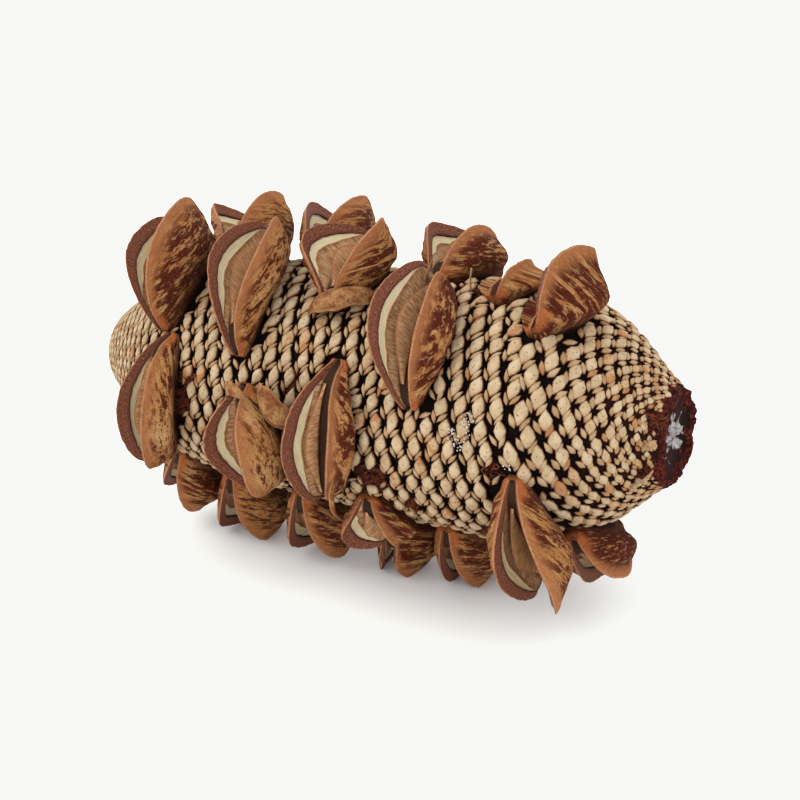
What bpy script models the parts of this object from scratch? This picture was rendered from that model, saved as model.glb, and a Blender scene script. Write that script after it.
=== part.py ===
"""Banksia cone: a woody seed cone lying on its side, with open two-valved follicles.

The core is a barrel whose surface is a lattice of bract ends raised by a formula.
Each follicle is a loft of one U-shaped section round the barrel, set in a socket.
A thin separator stands in the gap of each follicle that has opened.
Sizes are in millimetres and degrees until the meshes are made.
"""

import math
import random

import bmesh
import bpy
import numpy as np
from mathutils import Matrix, Vector

METRES_PER_MM = 0.001

# The core: stations along the cone's axis from the apex to the stalk, with radii.
CORE_STATIONS = (
    (-72.6, 0.0), (-71.8, 4.4), (-69.8, 7.8), (-66.0, 11.0), (-60.5, 14.6), (-54.0, 18.6),
    (-45.0, 21.8), (-34.0, 23.6), (-18.0, 24.6), (0.0, 25.2), (20.0, 25.8), (33.0, 25.8),
    (42.0, 23.8), (49.0, 19.8), (55.0, 14.9), (59.5, 10.9), (62.0, 10.0),
)
APEX_ROW_AT = -71.6
STALK_ROW_AT = 60.0
BRACT_COLUMNS = 28
BRACT_ROW_PITCH = 0.2
BRACT_ROW_SHEAR = 0.4
BRACT_RISE = 0.8
FELT_DEPTH = 0.5
BRACT_RIDGE_HALF = 0.24
BRACT_RIDGE_LEAN = 0.12

# The stub of stalk that broke off: ring stations, radii and how ragged each ring is.
STUB_RINGS = ((61.2, 10.0, 0.2, 0.3), (62.7, 9.0, 0.5, 0.6), (61.4, 5.6, 0.6, 0.5))
STUB_PITH_AT = 62.4
STUB_SEED = 7

# How the cone lies: its stalk end a little up, its axis this high over the floor.
AXIS_TILT = 2.0
AXIS_HEIGHT = 40.0
REST_SINK = 0.6
FLOOR_CLEARANCE = 0.9

# The follicle's section: a U in the plane through the axis.
FOOT_DEPTH = 2.0
SOCKET_GAP = 0.35
SOCKET_TOP = 3.0
GAP_HALF = 1.3
GAP_FLOOR = 2.6
RIM_THICKNESS = 1.5
LIP_DEPTH = 2.6
BASE_HALF = 5.0
APEX_BULGE = 1.6
STALK_BULGE = 3.6
END_DEPTH = 0.7
END_LIP_DEPTH = 0.3
LOWEST_RIM = 1.7
FLANK_AT = 0.45
FOOT_INSET = 0.5
FOLLICLE_STATIONS = (
    (0.0, 0.1), (0.08, 0.36), (0.2, 0.64), (0.35, 0.87), (0.5, 0.98), (0.64, 1.0),
    (0.8, 0.94), (0.92, 0.8), (1.0, 0.6),
)
BEAK_OPENING = 0.42

# The separator: a thin D-shaped plate that leans on the valve nearer the apex.
PLATE_THICKNESS = 0.9
PLATE_CLEARANCE = 0.4
PLATE_TOP = 0.8
PLATE_STATIONS = (0.24, 0.36, 0.48, 0.6, 0.72, 0.84)

# Follicles: station, angle round the axis, span in degrees, height of the valve nearer the
# apex and of the other, lean of each, which end the beak is at, and slew along the axis.
# Angle 0 faces the viewer and 90 is up. A height of None is set by the floor it rests on.
FOLLICLES = (
    (-47.0, 66, 60, 14.9, 18.3, 16, 12, 1, 0),
    (-28.2, 64, 72, 11.3, 12.6, 24, 17, 1, -5),
    (-6.6, 77, 40, 11.7, 13.8, 40, 17, 1, 3),
    (15.2, 46, 58, 13.2, 10.5, 21, 2, 1, -1),
    (39.2, 74, 30, 2.5, 15.6, 12, -18, 1, 4.5),
    (-46.6, -5, 80, 9.3, 9.7, 14, 16, -1, -5),
    (-19.7, -6, 44, 10.7, 13.1, 31, 5, -1, 6),
    (-3.0, 0.5, 66, 9.0, 7.8, 25, 20, -1, -2.8),
    (39.0, -31, 50, 14.8, 18.3, 9, 14, -1, 2),
    (-42.0, 117, 46, 15.0, 16.8, 31, 11, 1, 0),
    (-22.0, 116, 56, 14.0, 16.2, 20, 12, 1, -4),
    (11.5, 106, 46, 11.0, 11.4, 32, 0, 1, 3),
    (26.8, 87, 22, 2.5, 6.6, 2, -10, 1, 3),
    (-49.4, -80, 48, 13.0, 15.5, 14, 4, -1, 0),
    (-35.5, -81, 44, None, None, 14, 10, -1, 1),
    (-16.5, -76, 48, 15.0, 15.0, 14, 12, -1, 0),
    (4.6, -48, 26, 9.5, 7.0, 32, 14, -1, 3),
    (2.0, -90, 38, None, None, 12, 2, 1, 0),
    (16.4, -87, 48, None, None, 2, 4, -1, 0),
    (45.2, -75, 50, 10.0, 11.5, 4, 6, -1, 0),
    (-39.0, -150, 56, 14.0, 14.0, 16, 5, 1, 0),
    (-6.5, -148, 54, 14.5, 14.5, 14, 5, -1, 0),
    (31.5, -119, 54, 15.0, 15.0, 14, 5, 1, 0),
    (13.0, -152, 48, 14.0, 14.0, 18, 5, 1, -3),
    (-55.0, -171, 60, 13.0, 13.0, 14, 5, -1, 0),
    (-23.0, -162, 52, 14.5, 14.5, 18, 2, 1, 0),
    (27.0, 177, 54, 14.0, 14.0, 16, 5, 1, 0),
    (45.0, -160, 52, 11.0, 11.0, 12, 4, -1, 0),
)
# Some follicles are blunter than the rest: the power their profile is raised to.
BLUNTNESS = {5: 0.5, 13: 0.55, 20: 0.6}
SMALLEST_WITH_PLATE = 8.5

CORE_COLOUR = (0.42, 0.3, 0.16, 1.0)
FOLLICLE_COLOUR = (0.26, 0.1, 0.035, 1.0)
SEPARATOR_COLOUR = (0.5, 0.34, 0.18, 1.0)
WOOD_ROUGHNESS = 0.85


def core_radius(station):
    """Radius of the core at a station, a smooth curve through the listed ones."""
    points = CORE_STATIONS
    if station <= points[0][0]:
        return points[0][1]
    for index in range(len(points) - 1):
        if station <= points[index + 1][0]:
            before = points[max(index - 1, 0)]
            start = points[index]
            end = points[index + 1]
            after = points[min(index + 2, len(points) - 1)]
            reach = end[0] - start[0]
            t = (station - start[0]) / reach
            slope_a = (end[1] - before[1]) / (end[0] - before[0]) * reach
            slope_b = (after[1] - start[1]) / (after[0] - start[0]) * reach
            return (
                (2 * t**3 - 3 * t**2 + 1) * start[1]
                + (t**3 - 2 * t**2 + t) * slope_a
                + (3 * t**2 - 2 * t**3) * end[1]
                + (t**3 - t**2) * slope_b
            )
    return points[-1][1]


def core_slope(station):
    """Angle of the core's surface to its axis at a station, in radians."""
    step = 1.5
    rise = core_radius(station + step) - core_radius(station - step)
    return math.atan2(rise, 2 * step)


def around_core(station, angle, radius):
    """Point at a station, an angle in degrees round the axis and a radius, as it lies."""
    turn = math.radians(angle)
    point = Vector((station, -radius * math.cos(turn), radius * math.sin(turn)))
    lying = Matrix.Rotation(-math.radians(AXIS_TILT), 3, "Y") @ point
    return lying + Vector((0.0, 0.0, AXIS_HEIGHT))


def lattice_rows():
    """Stations of the bract rows, spaced along the surface in step with its radius."""
    stations = np.linspace(APEX_ROW_AT, STALK_ROW_AT, 1200)
    radii = np.array([core_radius(station) for station in stations])
    lengths = np.hypot(np.diff(stations), np.diff(radii))
    middle_radii = (radii[1:] + radii[:-1]) / 2
    rows_so_far = np.concatenate(([0.0], np.cumsum(lengths / middle_radii))) / BRACT_ROW_PITCH
    row_count = round(rows_so_far[-1])
    return np.interp(np.linspace(0.0, rows_so_far[-1], row_count + 1), rows_so_far, stations)


def core_mesh():
    """The core: one raised bract end in each cell of the lattice, and both ends closed."""
    mesh = bmesh.new()
    rows = lattice_rows()
    column_angle = 360.0 / BRACT_COLUMNS

    def ring(station, radius, row, ragged_along=0.0, ragged_out=0.0, draws=None):
        verts = []
        for column in range(BRACT_COLUMNS):
            along = station
            out = radius
            if draws:
                along += draws.uniform(-ragged_along, ragged_along)
                out += draws.uniform(-ragged_out, ragged_out)
            angle = (column + BRACT_ROW_SHEAR * row) * column_angle
            verts.append(mesh.verts.new(around_core(along, angle, out)))
        return verts

    def join(first, second):
        for column in range(BRACT_COLUMNS):
            after = (column + 1) % BRACT_COLUMNS
            mesh.faces.new((first[column], first[after], second[after], second[column]))

    def close(verts, centre):
        for column in range(BRACT_COLUMNS):
            mesh.faces.new((verts[column], verts[(column + 1) % BRACT_COLUMNS], centre))

    felt_rings = []
    for row, station in enumerate(rows):
        radius = core_radius(station)
        felt_rings.append(ring(station, radius - FELT_DEPTH * radius / 25.0, row))

    for row in range(len(rows) - 1):
        station = (rows[row] + rows[row + 1]) / 2
        row_gap = rows[row + 1] - rows[row]
        slope = core_slope(station)
        radius = core_radius(station)
        rise = BRACT_RISE * radius / 25.0
        lean = BRACT_RIDGE_LEAN * row_gap
        for column in range(BRACT_COLUMNS):
            after = (column + 1) % BRACT_COLUMNS
            angle = (column + 0.5 + BRACT_ROW_SHEAR * (row + 0.5)) * column_angle
            ridge = []
            for side in (-1, 1):
                along = station + side * lean
                out = core_radius(along) + rise * math.cos(slope)
                along -= rise * math.sin(slope)
                turned = angle + side * BRACT_RIDGE_HALF * column_angle
                ridge.append(mesh.verts.new(around_core(along, turned, out)))
            near = felt_rings[row]
            far = felt_rings[row + 1]
            mesh.faces.new((near[column], ridge[0], far[column]))
            mesh.faces.new((near[column], near[after], ridge[1], ridge[0]))
            mesh.faces.new((near[after], far[after], ridge[1]))
            mesh.faces.new((far[column], ridge[0], ridge[1], far[after]))

    close(felt_rings[0], mesh.verts.new(around_core(CORE_STATIONS[0][0], 0.0, 0.0)))

    draws = random.Random(STUB_SEED)
    last = felt_rings[-1]
    last_row = len(rows) - 1
    for station, radius, ragged_along, ragged_out in STUB_RINGS:
        stub_ring = ring(station, radius, last_row, ragged_along, ragged_out, draws)
        join(last, stub_ring)
        last = stub_ring
    close(last, mesh.verts.new(around_core(STUB_PITH_AT, 0.0, 0.0)))
    return mesh


class Follicle:
    """One follicle's place and shape, and the sections that its meshes are lofted from."""

    def __init__(self, number, row):
        self.station, self.angle, self.span = row[:3]
        self.bluntness = BLUNTNESS.get(number, 1.0)
        self.lean_apex, self.lean_stalk, self.beak_end, self.slew = row[5:]
        self.rests = row[3] is None
        if self.rests:
            tallest = self.height_to_reach(-REST_SINK)
            self.heights = (tallest, tallest)
        else:
            tallest = self.height_to_reach(FLOOR_CLEARANCE)
            self.heights = (min(row[3], tallest), min(row[4], tallest))
        self.has_plate = self.heights[0] > SMALLEST_WITH_PLATE

    def place(self, share, across, out):
        """A point of the section at a share of the length, across and out from the core."""
        station = self.station + self.slew * (share - 0.5)
        angle = self.angle + self.beak_end * (share - 0.5) * self.span
        slope = core_slope(station)
        along = station + across * math.cos(slope) - out * math.sin(slope)
        radius = core_radius(station) + across * math.sin(slope) + out * math.cos(slope)
        return around_core(along, angle, radius)

    def widths(self, share):
        """How far open and how wide at the base the follicle is at a share of its length."""
        swell = math.sin(math.pi * min(max(share, 0.0), 1.0)) ** 0.7
        opened = max(swell, BEAK_OPENING) if share > 0.5 else swell
        return opened, BASE_HALF * (0.24 + 0.76 * swell)

    def gap_at(self, share, rims):
        """The gap's floor and half-width under the lower of the two rims."""
        opened = self.widths(share)[0]
        closed_floor = min(rims) - END_DEPTH
        floor = closed_floor - (closed_floor - min(GAP_FLOOR, closed_floor)) * opened
        return floor, GAP_HALF * (0.3 + 0.7 * opened)

    def section(self, share, profile, heights):
        """The U-shaped section, from the foot on the apex side round to the other foot."""
        opened, base = self.widths(share)
        rims = [max(height * profile, LOWEST_RIM) for height in heights]
        floor, gap = self.gap_at(share, rims)
        thickness = RIM_THICKNESS * (0.3 + 0.7 * opened)
        points = []
        for side, lean, rim, bulge in (
            (-1, self.lean_apex, rims[0], APEX_BULGE), (1, self.lean_stalk, rims[1], STALK_BULGE)
        ):
            inner = gap + (rim - floor) * math.tan(math.radians(lean)) * opened
            outer = inner + thickness
            flank = (base + max(outer, base * 0.8)) / 2 + bulge * opened * profile + 0.2
            lip = rim - END_LIP_DEPTH - (LIP_DEPTH - END_LIP_DEPTH) * opened
            half = [
                (side * (base - FOOT_INSET), -FOOT_DEPTH),
                (side * base, BRACT_RISE),
                (side * flank, BRACT_RISE + (rim - BRACT_RISE) * FLANK_AT),
                (side * outer, rim),
                (side * inner, lip),
                (side * gap, floor),
            ]
            points.append(half)
        return points[0] + points[1][::-1]

    def rings(self, heights):
        """The sections as points in space, one ring for each station of the loft."""
        rings = []
        for share, profile in FOLLICLE_STATIONS:
            section = self.section(share, profile**self.bluntness, heights)
            rings.append([self.place(share, across, out) for across, out in section])
        return rings

    def height_to_reach(self, floor_level):
        """The height at which the follicle's lowest point is at a level over the floor."""
        low, high = 3.0, 30.0
        for _ in range(40):
            middle = (low + high) / 2
            lowest = min(point.z for ring in self.rings((middle, middle)) for point in ring)
            if lowest > floor_level:
                low = middle
            else:
                high = middle
        return low

    def profile_at(self, share):
        """The rim's height as a share of the follicle's, between the loft's stations."""
        shares, profiles = zip(*FOLLICLE_STATIONS)
        return float(np.interp(share, shares, profiles)) ** self.bluntness

    def solid(self):
        """The follicle as a mesh, worn flat where it rests on the floor."""
        mesh = loft(self.rings(self.heights))
        if self.rests:
            everything = mesh.verts[:] + mesh.edges[:] + mesh.faces[:]
            bmesh.ops.bisect_plane(
                mesh, geom=everything, plane_co=(0, 0, 0), plane_no=(0, 0, 1), clear_inner=True
            )
            open_edges = [edge for edge in mesh.edges if edge.is_boundary]
            bmesh.ops.holes_fill(mesh, edges=open_edges, sides=0)
        return mesh

    def socket(self):
        """The hole in the core that the foot stands in, a little wider than the foot."""
        rings = []
        for share, _ in FOLLICLE_STATIONS:
            base = self.widths(share)[1]
            low = base - FOOT_INSET + SOCKET_GAP
            high = base + SOCKET_GAP + 0.45
            past_end = 0.012 * (share - 0.5)
            section = (
                (-low, -FOOT_DEPTH - SOCKET_GAP),
                (-high, SOCKET_TOP),
                (high, SOCKET_TOP),
                (low, -FOOT_DEPTH - SOCKET_GAP),
            )
            stretched = share + 2 * past_end
            rings.append([self.place(stretched, across, out) for across, out in section])
        return loft(rings)

    def plate(self):
        """The separator: a thin plate standing in the gap, clear of both valves."""
        rings = []
        for share in PLATE_STATIONS:
            opened = self.widths(share)[0]
            rims = [height * self.profile_at(share) for height in self.heights]
            rim = rims[0]
            floor, gap = self.gap_at(share, rims)
            bottom = floor + PLATE_CLEARANCE
            top = bottom + (rim * PLATE_TOP - bottom) * math.sin(math.pi * (share - 0.14) / 0.8) ** 0.5
            lean = math.tan(math.radians(self.lean_apex)) * opened * 0.85
            section = []
            for out in (bottom, top):
                face = -gap + PLATE_CLEARANCE - (out - bottom) * lean
                section.append((face, out))
                section.append((face + PLATE_THICKNESS, out))
            ordered = (section[0], section[2], section[3], section[1])
            rings.append([self.place(share, across, out) for across, out in ordered])
        return loft(rings)


def loft(rings):
    """A closed mesh through rings of equal counts, with a flat cap at both ends."""
    mesh = bmesh.new()
    vert_rings = [[mesh.verts.new(point) for point in ring] for ring in rings]
    count = len(rings[0])
    for first, second in zip(vert_rings, vert_rings[1:]):
        for index in range(count):
            after = (index + 1) % count
            mesh.faces.new((first[index], first[after], second[after], second[index]))
    mesh.faces.new(vert_rings[0][::-1])
    mesh.faces.new(vert_rings[-1])
    bmesh.ops.recalc_face_normals(mesh, faces=mesh.faces[:])
    return mesh


def wood_material(name, colour):
    """A plain matt wood colour for one kind of piece."""
    material = bpy.data.materials.new(name)
    material.use_nodes = True
    shader = material.node_tree.nodes["Principled BSDF"]
    shader.inputs["Base Color"].default_value = colour
    shader.inputs["Roughness"].default_value = WOOD_ROUGHNESS
    shader.inputs["Metallic"].default_value = 0.0
    return material


def add_object(name, mesh, collection, shift, material=None):
    """Move a mesh to the part's frame in metres and put it in a collection."""
    bmesh.ops.translate(mesh, verts=mesh.verts[:], vec=shift)
    bmesh.ops.scale(mesh, verts=mesh.verts[:], vec=(METRES_PER_MM,) * 3)
    data = bpy.data.meshes.new(name)
    mesh.to_mesh(data)
    mesh.free()
    if material:
        data.materials.append(material)
    added = bpy.data.objects.new(name, data)
    collection.objects.link(added)
    return added


for leftover in list(bpy.data.objects):
    bpy.data.objects.remove(leftover, do_unlink=True)

part = bpy.data.collections.new("banksia_cone")
bpy.context.scene.collection.children.link(part)
cutters = bpy.data.collections.new("cutters")
cutters.hide_render = True
bpy.context.scene.collection.children.link(cutters)

core_solid = core_mesh()
bmesh.ops.recalc_face_normals(core_solid, faces=core_solid.faces[:])
follicles = [Follicle(number, row) for number, row in enumerate(FOLLICLES, start=1)]
follicle_solids = [follicle.solid() for follicle in follicles]

# The part's origin is under the middle of its box, so the middle is found first.
every_point = [vert.co for mesh in [core_solid, *follicle_solids] for vert in mesh.verts]
lows = [min(point[axis] for point in every_point) for axis in range(3)]
highs = [max(point[axis] for point in every_point) for axis in range(3)]
to_origin = Vector((-(lows[0] + highs[0]) / 2, -(lows[1] + highs[1]) / 2, 0.0))

core = add_object("core", core_solid, part, to_origin, wood_material("core", CORE_COLOUR))

for number, (follicle, solid) in enumerate(zip(follicles, follicle_solids), start=1):
    name = f"follicle_{number:02d}"
    add_object(name, solid, part, to_origin, wood_material(name, FOLLICLE_COLOUR))
    cutter = add_object(f"socket_cutter_{number:02d}", follicle.socket(), cutters, to_origin)
    cutter.display_type = "WIRE"
    cutter.hide_render = True
    if follicle.has_plate:
        name = f"separator_{number:02d}"
        material = wood_material(name, SEPARATOR_COLOUR)
        add_object(name, follicle.plate(), part, to_origin, material)

sockets = core.modifiers.new("sockets", "BOOLEAN")
sockets.operation = "DIFFERENCE"
sockets.operand_type = "COLLECTION"
sockets.collection = cutters
sockets.solver = "EXACT"
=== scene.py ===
"""Banksia cone in its own frame: the visual model, the camera and the light."""

import math
import random

import bpy
import numpy as np
from mathutils import Matrix, Vector, noise


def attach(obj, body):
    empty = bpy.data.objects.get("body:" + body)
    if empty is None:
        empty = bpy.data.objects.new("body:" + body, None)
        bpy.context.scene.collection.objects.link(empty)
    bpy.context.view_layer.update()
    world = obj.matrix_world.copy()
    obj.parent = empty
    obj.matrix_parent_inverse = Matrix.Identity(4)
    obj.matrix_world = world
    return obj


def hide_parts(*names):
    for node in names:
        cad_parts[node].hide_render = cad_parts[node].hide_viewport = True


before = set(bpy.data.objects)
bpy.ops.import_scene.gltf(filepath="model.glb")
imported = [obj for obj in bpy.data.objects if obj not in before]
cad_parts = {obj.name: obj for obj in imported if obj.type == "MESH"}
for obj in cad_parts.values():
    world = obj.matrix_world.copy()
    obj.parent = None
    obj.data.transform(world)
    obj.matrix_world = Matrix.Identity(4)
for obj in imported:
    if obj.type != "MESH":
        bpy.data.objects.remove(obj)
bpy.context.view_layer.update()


# Camera, floor and light.
# The cone lies on a pale seamless surface and is seen from its stalk end's side, from a little
# above. The light is bright and soft, from all round and from a wide window high on the left.

MM = 0.001
AIM = Vector((4.6, -1.3, 38.0)) * MM
CAMERA_AZIMUTH = math.radians(28.0)
CAMERA_ELEVATION = math.radians(22.6)
CAMERA_DISTANCE = 0.400
FRAME_PIXELS = 800
METRES_PER_PIXEL = 0.000212
PAPER_WHITE = (0.935, 0.945, 0.92)
SHOULDER = 0.62
FLOOR_COLOUR = (0.92, 0.925, 0.91, 1.0)
FLOOR_HALF = 4.0
SKY_COLOUR = (0.97, 0.985, 1.0, 1.0)
SKY_STRENGTH = 1.85
LIGHT_LEVEL = 1.7
WINDOW_PLACE = Vector((-1.05, -0.6, 1.1))
WINDOW_SIZE = 0.9
WINDOW_WATTS = 11.0
WINDOW_COLOUR = (1.0, 0.985, 0.965)

camera_data = bpy.data.cameras.new("camera")
camera_data.sensor_width = 36.0
camera_data.lens = CAMERA_DISTANCE / METRES_PER_PIXEL * camera_data.sensor_width / FRAME_PIXELS
camera_data.clip_start = 0.01
camera = bpy.data.objects.new("camera", camera_data)
bpy.context.scene.collection.objects.link(camera)
toward_camera = Vector((
    math.sin(CAMERA_AZIMUTH) * math.cos(CAMERA_ELEVATION),
    -math.cos(CAMERA_AZIMUTH) * math.cos(CAMERA_ELEVATION),
    math.sin(CAMERA_ELEVATION),
))
camera.location = AIM + toward_camera * CAMERA_DISTANCE
camera.rotation_euler = (-toward_camera).to_track_quat("-Z", "Y").to_euler()
bpy.context.scene.camera = camera

view = bpy.context.scene.view_settings
view.view_transform = "Standard"
view.use_curve_mapping = True
view.curve_mapping.extend = "HORIZONTAL"
for curve, white in zip(view.curve_mapping.curves, PAPER_WHITE):
    curve.points[1].location = (1.0, white)
    curve.points.new(SHOULDER, SHOULDER)
view.curve_mapping.update()

floor_mesh = bpy.data.meshes.new("floor")
floor_corners = [(x * FLOOR_HALF, y * FLOOR_HALF, 0) for x, y in ((-1, -1), (1, -1), (1, 1), (-1, 1))]
floor_mesh.from_pydata(floor_corners, [], [(0, 1, 2, 3)])
floor = bpy.data.objects.new("floor", floor_mesh)
bpy.context.scene.collection.objects.link(floor)
floor_material = bpy.data.materials.new("pale_surface")
floor_material.use_nodes = True
floor_shader = floor_material.node_tree.nodes["Principled BSDF"]
floor_shader.inputs["Base Color"].default_value = FLOOR_COLOUR
floor_shader.inputs["Roughness"].default_value = 0.7
floor_mesh.materials.append(floor_material)

world = bpy.data.worlds.new("studio")
bpy.context.scene.world = world
world.use_nodes = True
world.node_tree.nodes["Background"].inputs["Color"].default_value = SKY_COLOUR
world.node_tree.nodes["Background"].inputs["Strength"].default_value = SKY_STRENGTH

window = bpy.data.lights.new("window_light", "AREA")
window.shape = "SQUARE"
window.size = WINDOW_SIZE
window.energy = WINDOW_WATTS
window.color = WINDOW_COLOUR
window_light = bpy.data.objects.new("window_light", window)
bpy.context.scene.collection.objects.link(window_light)
window_light.location = WINDOW_PLACE
window_light.rotation_euler = (AIM - WINDOW_PLACE).to_track_quat("-Z", "Y").to_euler()


# Core felt.
# The woody barrel under the bract ends is packed with short dark felt. Its colour is painted down to near
# black, darker than the felt, as painted shade in the gaps between bract ends, so it shows as near-black
# lines and small voids between them. It grew as one body with the stalk.

CORE_STATIONS = (
    (-72.6, 0.0), (-71.8, 4.4), (-69.8, 7.8), (-66.0, 11.0), (-60.5, 14.6), (-54.0, 18.6),
    (-45.0, 21.8), (-34.0, 23.6), (-18.0, 24.6), (0.0, 25.2), (20.0, 25.8), (33.0, 25.8),
    (42.0, 23.8), (49.0, 19.8), (55.0, 14.9), (59.5, 10.9), (62.0, 10.0),
)
AXIS_TILT = math.radians(2.0)
AXIS_HEIGHT = 40.0
PART_SHIFT = Vector((4.617, -1.296, 0.0))
CORE_MIDDLE_RADIUS = 25.0
SLOPE_STEP = 1.5
FELT_DEPTH = 0.55
FELT_END = 61.6
FELT_RINGS = 230
FELT_AROUND = 250


def part_way(value, start, reach):
    """How far a value has come past a start, as a share from 0 to 1 of a reach."""
    return min(max((value - start) / reach, 0.0), 1.0)


def smooth_through(points, at):
    """A smooth curve through listed (place, value) points."""
    if at <= points[0][0]:
        return points[0][1]
    for index in range(len(points) - 1):
        if at <= points[index + 1][0]:
            before = points[max(index - 1, 0)]
            start = points[index]
            end = points[index + 1]
            after = points[min(index + 2, len(points) - 1)]
            reach = end[0] - start[0]
            t = (at - start[0]) / reach
            slope_a = (end[1] - before[1]) / (end[0] - before[0]) * reach
            slope_b = (after[1] - start[1]) / (after[0] - start[0]) * reach
            return (
                (2 * t**3 - 3 * t**2 + 1) * start[1]
                + (t**3 - 2 * t**2 + t) * slope_a
                + (3 * t**2 - 2 * t**3) * end[1]
                + (t**3 - t**2) * slope_b
            )
    return points[-1][1]


def core_radius(station):
    """Radius of the core in millimetres at a station along its axis."""
    return smooth_through(CORE_STATIONS, station)


def core_slope(station):
    """Angle of the core's surface to its axis, in radians."""
    rise = core_radius(station + SLOPE_STEP) - core_radius(station - SLOPE_STEP)
    return math.atan2(rise, 2 * SLOPE_STEP)


TILT_TURN = Matrix.Rotation(-AXIS_TILT, 3, "Y")


def lie(station, angle, radius):
    """Point in metres at a station, an angle in degrees round the axis and a radius."""
    turn = math.radians(angle)
    point = Vector((station, -radius * math.cos(turn), radius * math.sin(turn)))
    return (TILT_TURN @ point + Vector((0, 0, AXIS_HEIGHT)) + PART_SHIFT) * MM


def lie_direction(along, angle, outward, around):
    """Direction in the part's frame from parts along the axis, outward and around it."""
    turn = math.radians(angle)
    out_axis = Vector((0, -math.cos(turn), math.sin(turn)))
    around_axis = Vector((0, math.sin(turn), math.cos(turn)))
    total = Vector((along, 0, 0)) + out_axis * outward + around_axis * around
    return (TILT_TURN @ total).normalized()


def loose_shape(name, points, faces, attributes, smooth=True):
    """A mesh object outside the scene, with named point attributes."""
    mesh = bpy.data.meshes.new(name)
    mesh.from_pydata([tuple(point) for point in points], [], faces)
    for label, values in attributes.items():
        values = np.asarray(values, dtype=np.float32)
        kind = "FLOAT" if values.ndim == 1 else "FLOAT_VECTOR"
        field = "value" if values.ndim == 1 else "vector"
        mesh.attributes.new(label, kind, "POINT").data.foreach_set(field, values.ravel())
    mesh.polygons.foreach_set("use_smooth", [smooth] * len(mesh.polygons))
    mesh.update()
    return bpy.data.objects.new(name, mesh)


def new_piece(name, points, faces, material, attributes):
    """A piece at the origin from points in metres, in its finish."""
    piece = loose_shape(name, points, faces, attributes)
    piece.data.materials.append(material)
    bpy.context.scene.collection.objects.link(piece)
    return piece


def tube_faces(rings, around, first=0):
    """Quads between rings of equal counts that close on themselves."""
    faces = []
    for ring in range(rings - 1):
        for index in range(around):
            after = (index + 1) % around
            low = first + ring * around
            high = low + around
            faces.append((low + index, low + after, high + after, high + index))
    return faces


def fan_faces(first, around, tip, turned=False):
    """Triangles from a ring of points to one point in its middle."""
    pairs = [(first + index, first + (index + 1) % around) for index in range(around)]
    return [(after, before, tip) if turned else (before, after, tip) for before, after in pairs]


def end_faces(rings, around):
    """Faces that close both ends of a tube whose rings run up one side and down the other."""
    faces = []
    for first, turned in ((0, True), ((rings - 1) * around, False)):
        for index in range((around - 1) // 2):
            low = first + index
            high = first + around - 1 - index
            face = (low, low + 1, high) if low + 1 == high - 1 else (low, low + 1, high - 1, high)
            faces.append(face[::-1] if turned else face)
    return faces


class Nodes:
    """Short calls for building a material's node tree."""

    def __init__(self, name):
        self.material = bpy.data.materials.new(name)
        self.material.use_nodes = True
        self.tree = self.material.node_tree
        self.shader = self.tree.nodes["Principled BSDF"]

    def add(self, kind, inputs=None, **settings):
        node = self.tree.nodes.new(kind)
        for label, value in settings.items():
            setattr(node, label, value)
        for label, value in (inputs or {}).items():
            self.feed(node.inputs[label], value)
        return node

    def feed(self, socket, value):
        if isinstance(value, bpy.types.NodeSocket):
            self.tree.links.new(value, socket)
        else:
            socket.default_value = value

    def place(self):
        return self.add("ShaderNodeTexCoord").outputs["Object"]

    def attribute(self, label):
        return self.add("ShaderNodeAttribute", attribute_name=label)

    def noise(self, vector, scale, detail=3.0, roughness=0.55, distortion=0.0):
        inputs = {"Vector": vector, "Scale": scale, "Detail": detail, "Roughness": roughness}
        inputs["Distortion"] = distortion
        return self.add("ShaderNodeTexNoise", inputs).outputs["Fac"]

    def stretch(self, vector, scale):
        node = self.add("ShaderNodeVectorMath", {0: vector, 1: scale}, operation="MULTIPLY")
        return node.outputs[0]

    def maths(self, operation, first, second=0.0, third=0.0):
        inputs = {0: first, 1: second, 2: third}
        return self.add("ShaderNodeMath", inputs, operation=operation).outputs[0]

    def span(self, value, low, high, to_low=0.0, to_high=1.0):
        inputs = {"Value": value, "From Min": low, "From Max": high}
        inputs.update({"To Min": to_low, "To Max": to_high})
        node = self.add("ShaderNodeMapRange", inputs, interpolation_type="SMOOTHSTEP")
        return node.outputs["Result"]

    def ramp(self, value, stops, interpolation="LINEAR"):
        node = self.add("ShaderNodeValToRGB", {"Fac": value})
        node.color_ramp.interpolation = interpolation
        elements = node.color_ramp.elements
        while len(elements) < len(stops):
            elements.new(0.5)
        for element, (position, colour) in zip(elements, stops):
            element.position = position
            element.color = (*colour, 1.0)
        return node.outputs["Color"]

    def mix(self, factor, first, second, blend="MIX"):
        node = self.add("ShaderNodeMix", data_type="RGBA", blend_type=blend)
        self.feed(node.inputs[0], factor)
        for socket, value in ((node.inputs[6], first), (node.inputs[7], second)):
            self.feed(socket, (*value, 1.0) if isinstance(value, tuple) else value)
        return node.outputs[2]

    def finish(self, colour, roughness, bump=None, bump_distance=0.0002):
        self.feed(self.shader.inputs["Base Color"], colour)
        self.feed(self.shader.inputs["Roughness"], roughness)
        self.shader.inputs["Specular IOR Level"].default_value = 0.06
        if bump:
            inputs = {"Height": bump, "Strength": 1.0, "Distance": bump_distance}
            normal = self.add("ShaderNodeBump", inputs).outputs["Normal"]
            self.feed(self.shader.inputs["Normal"], normal)
        return self.material


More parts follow.
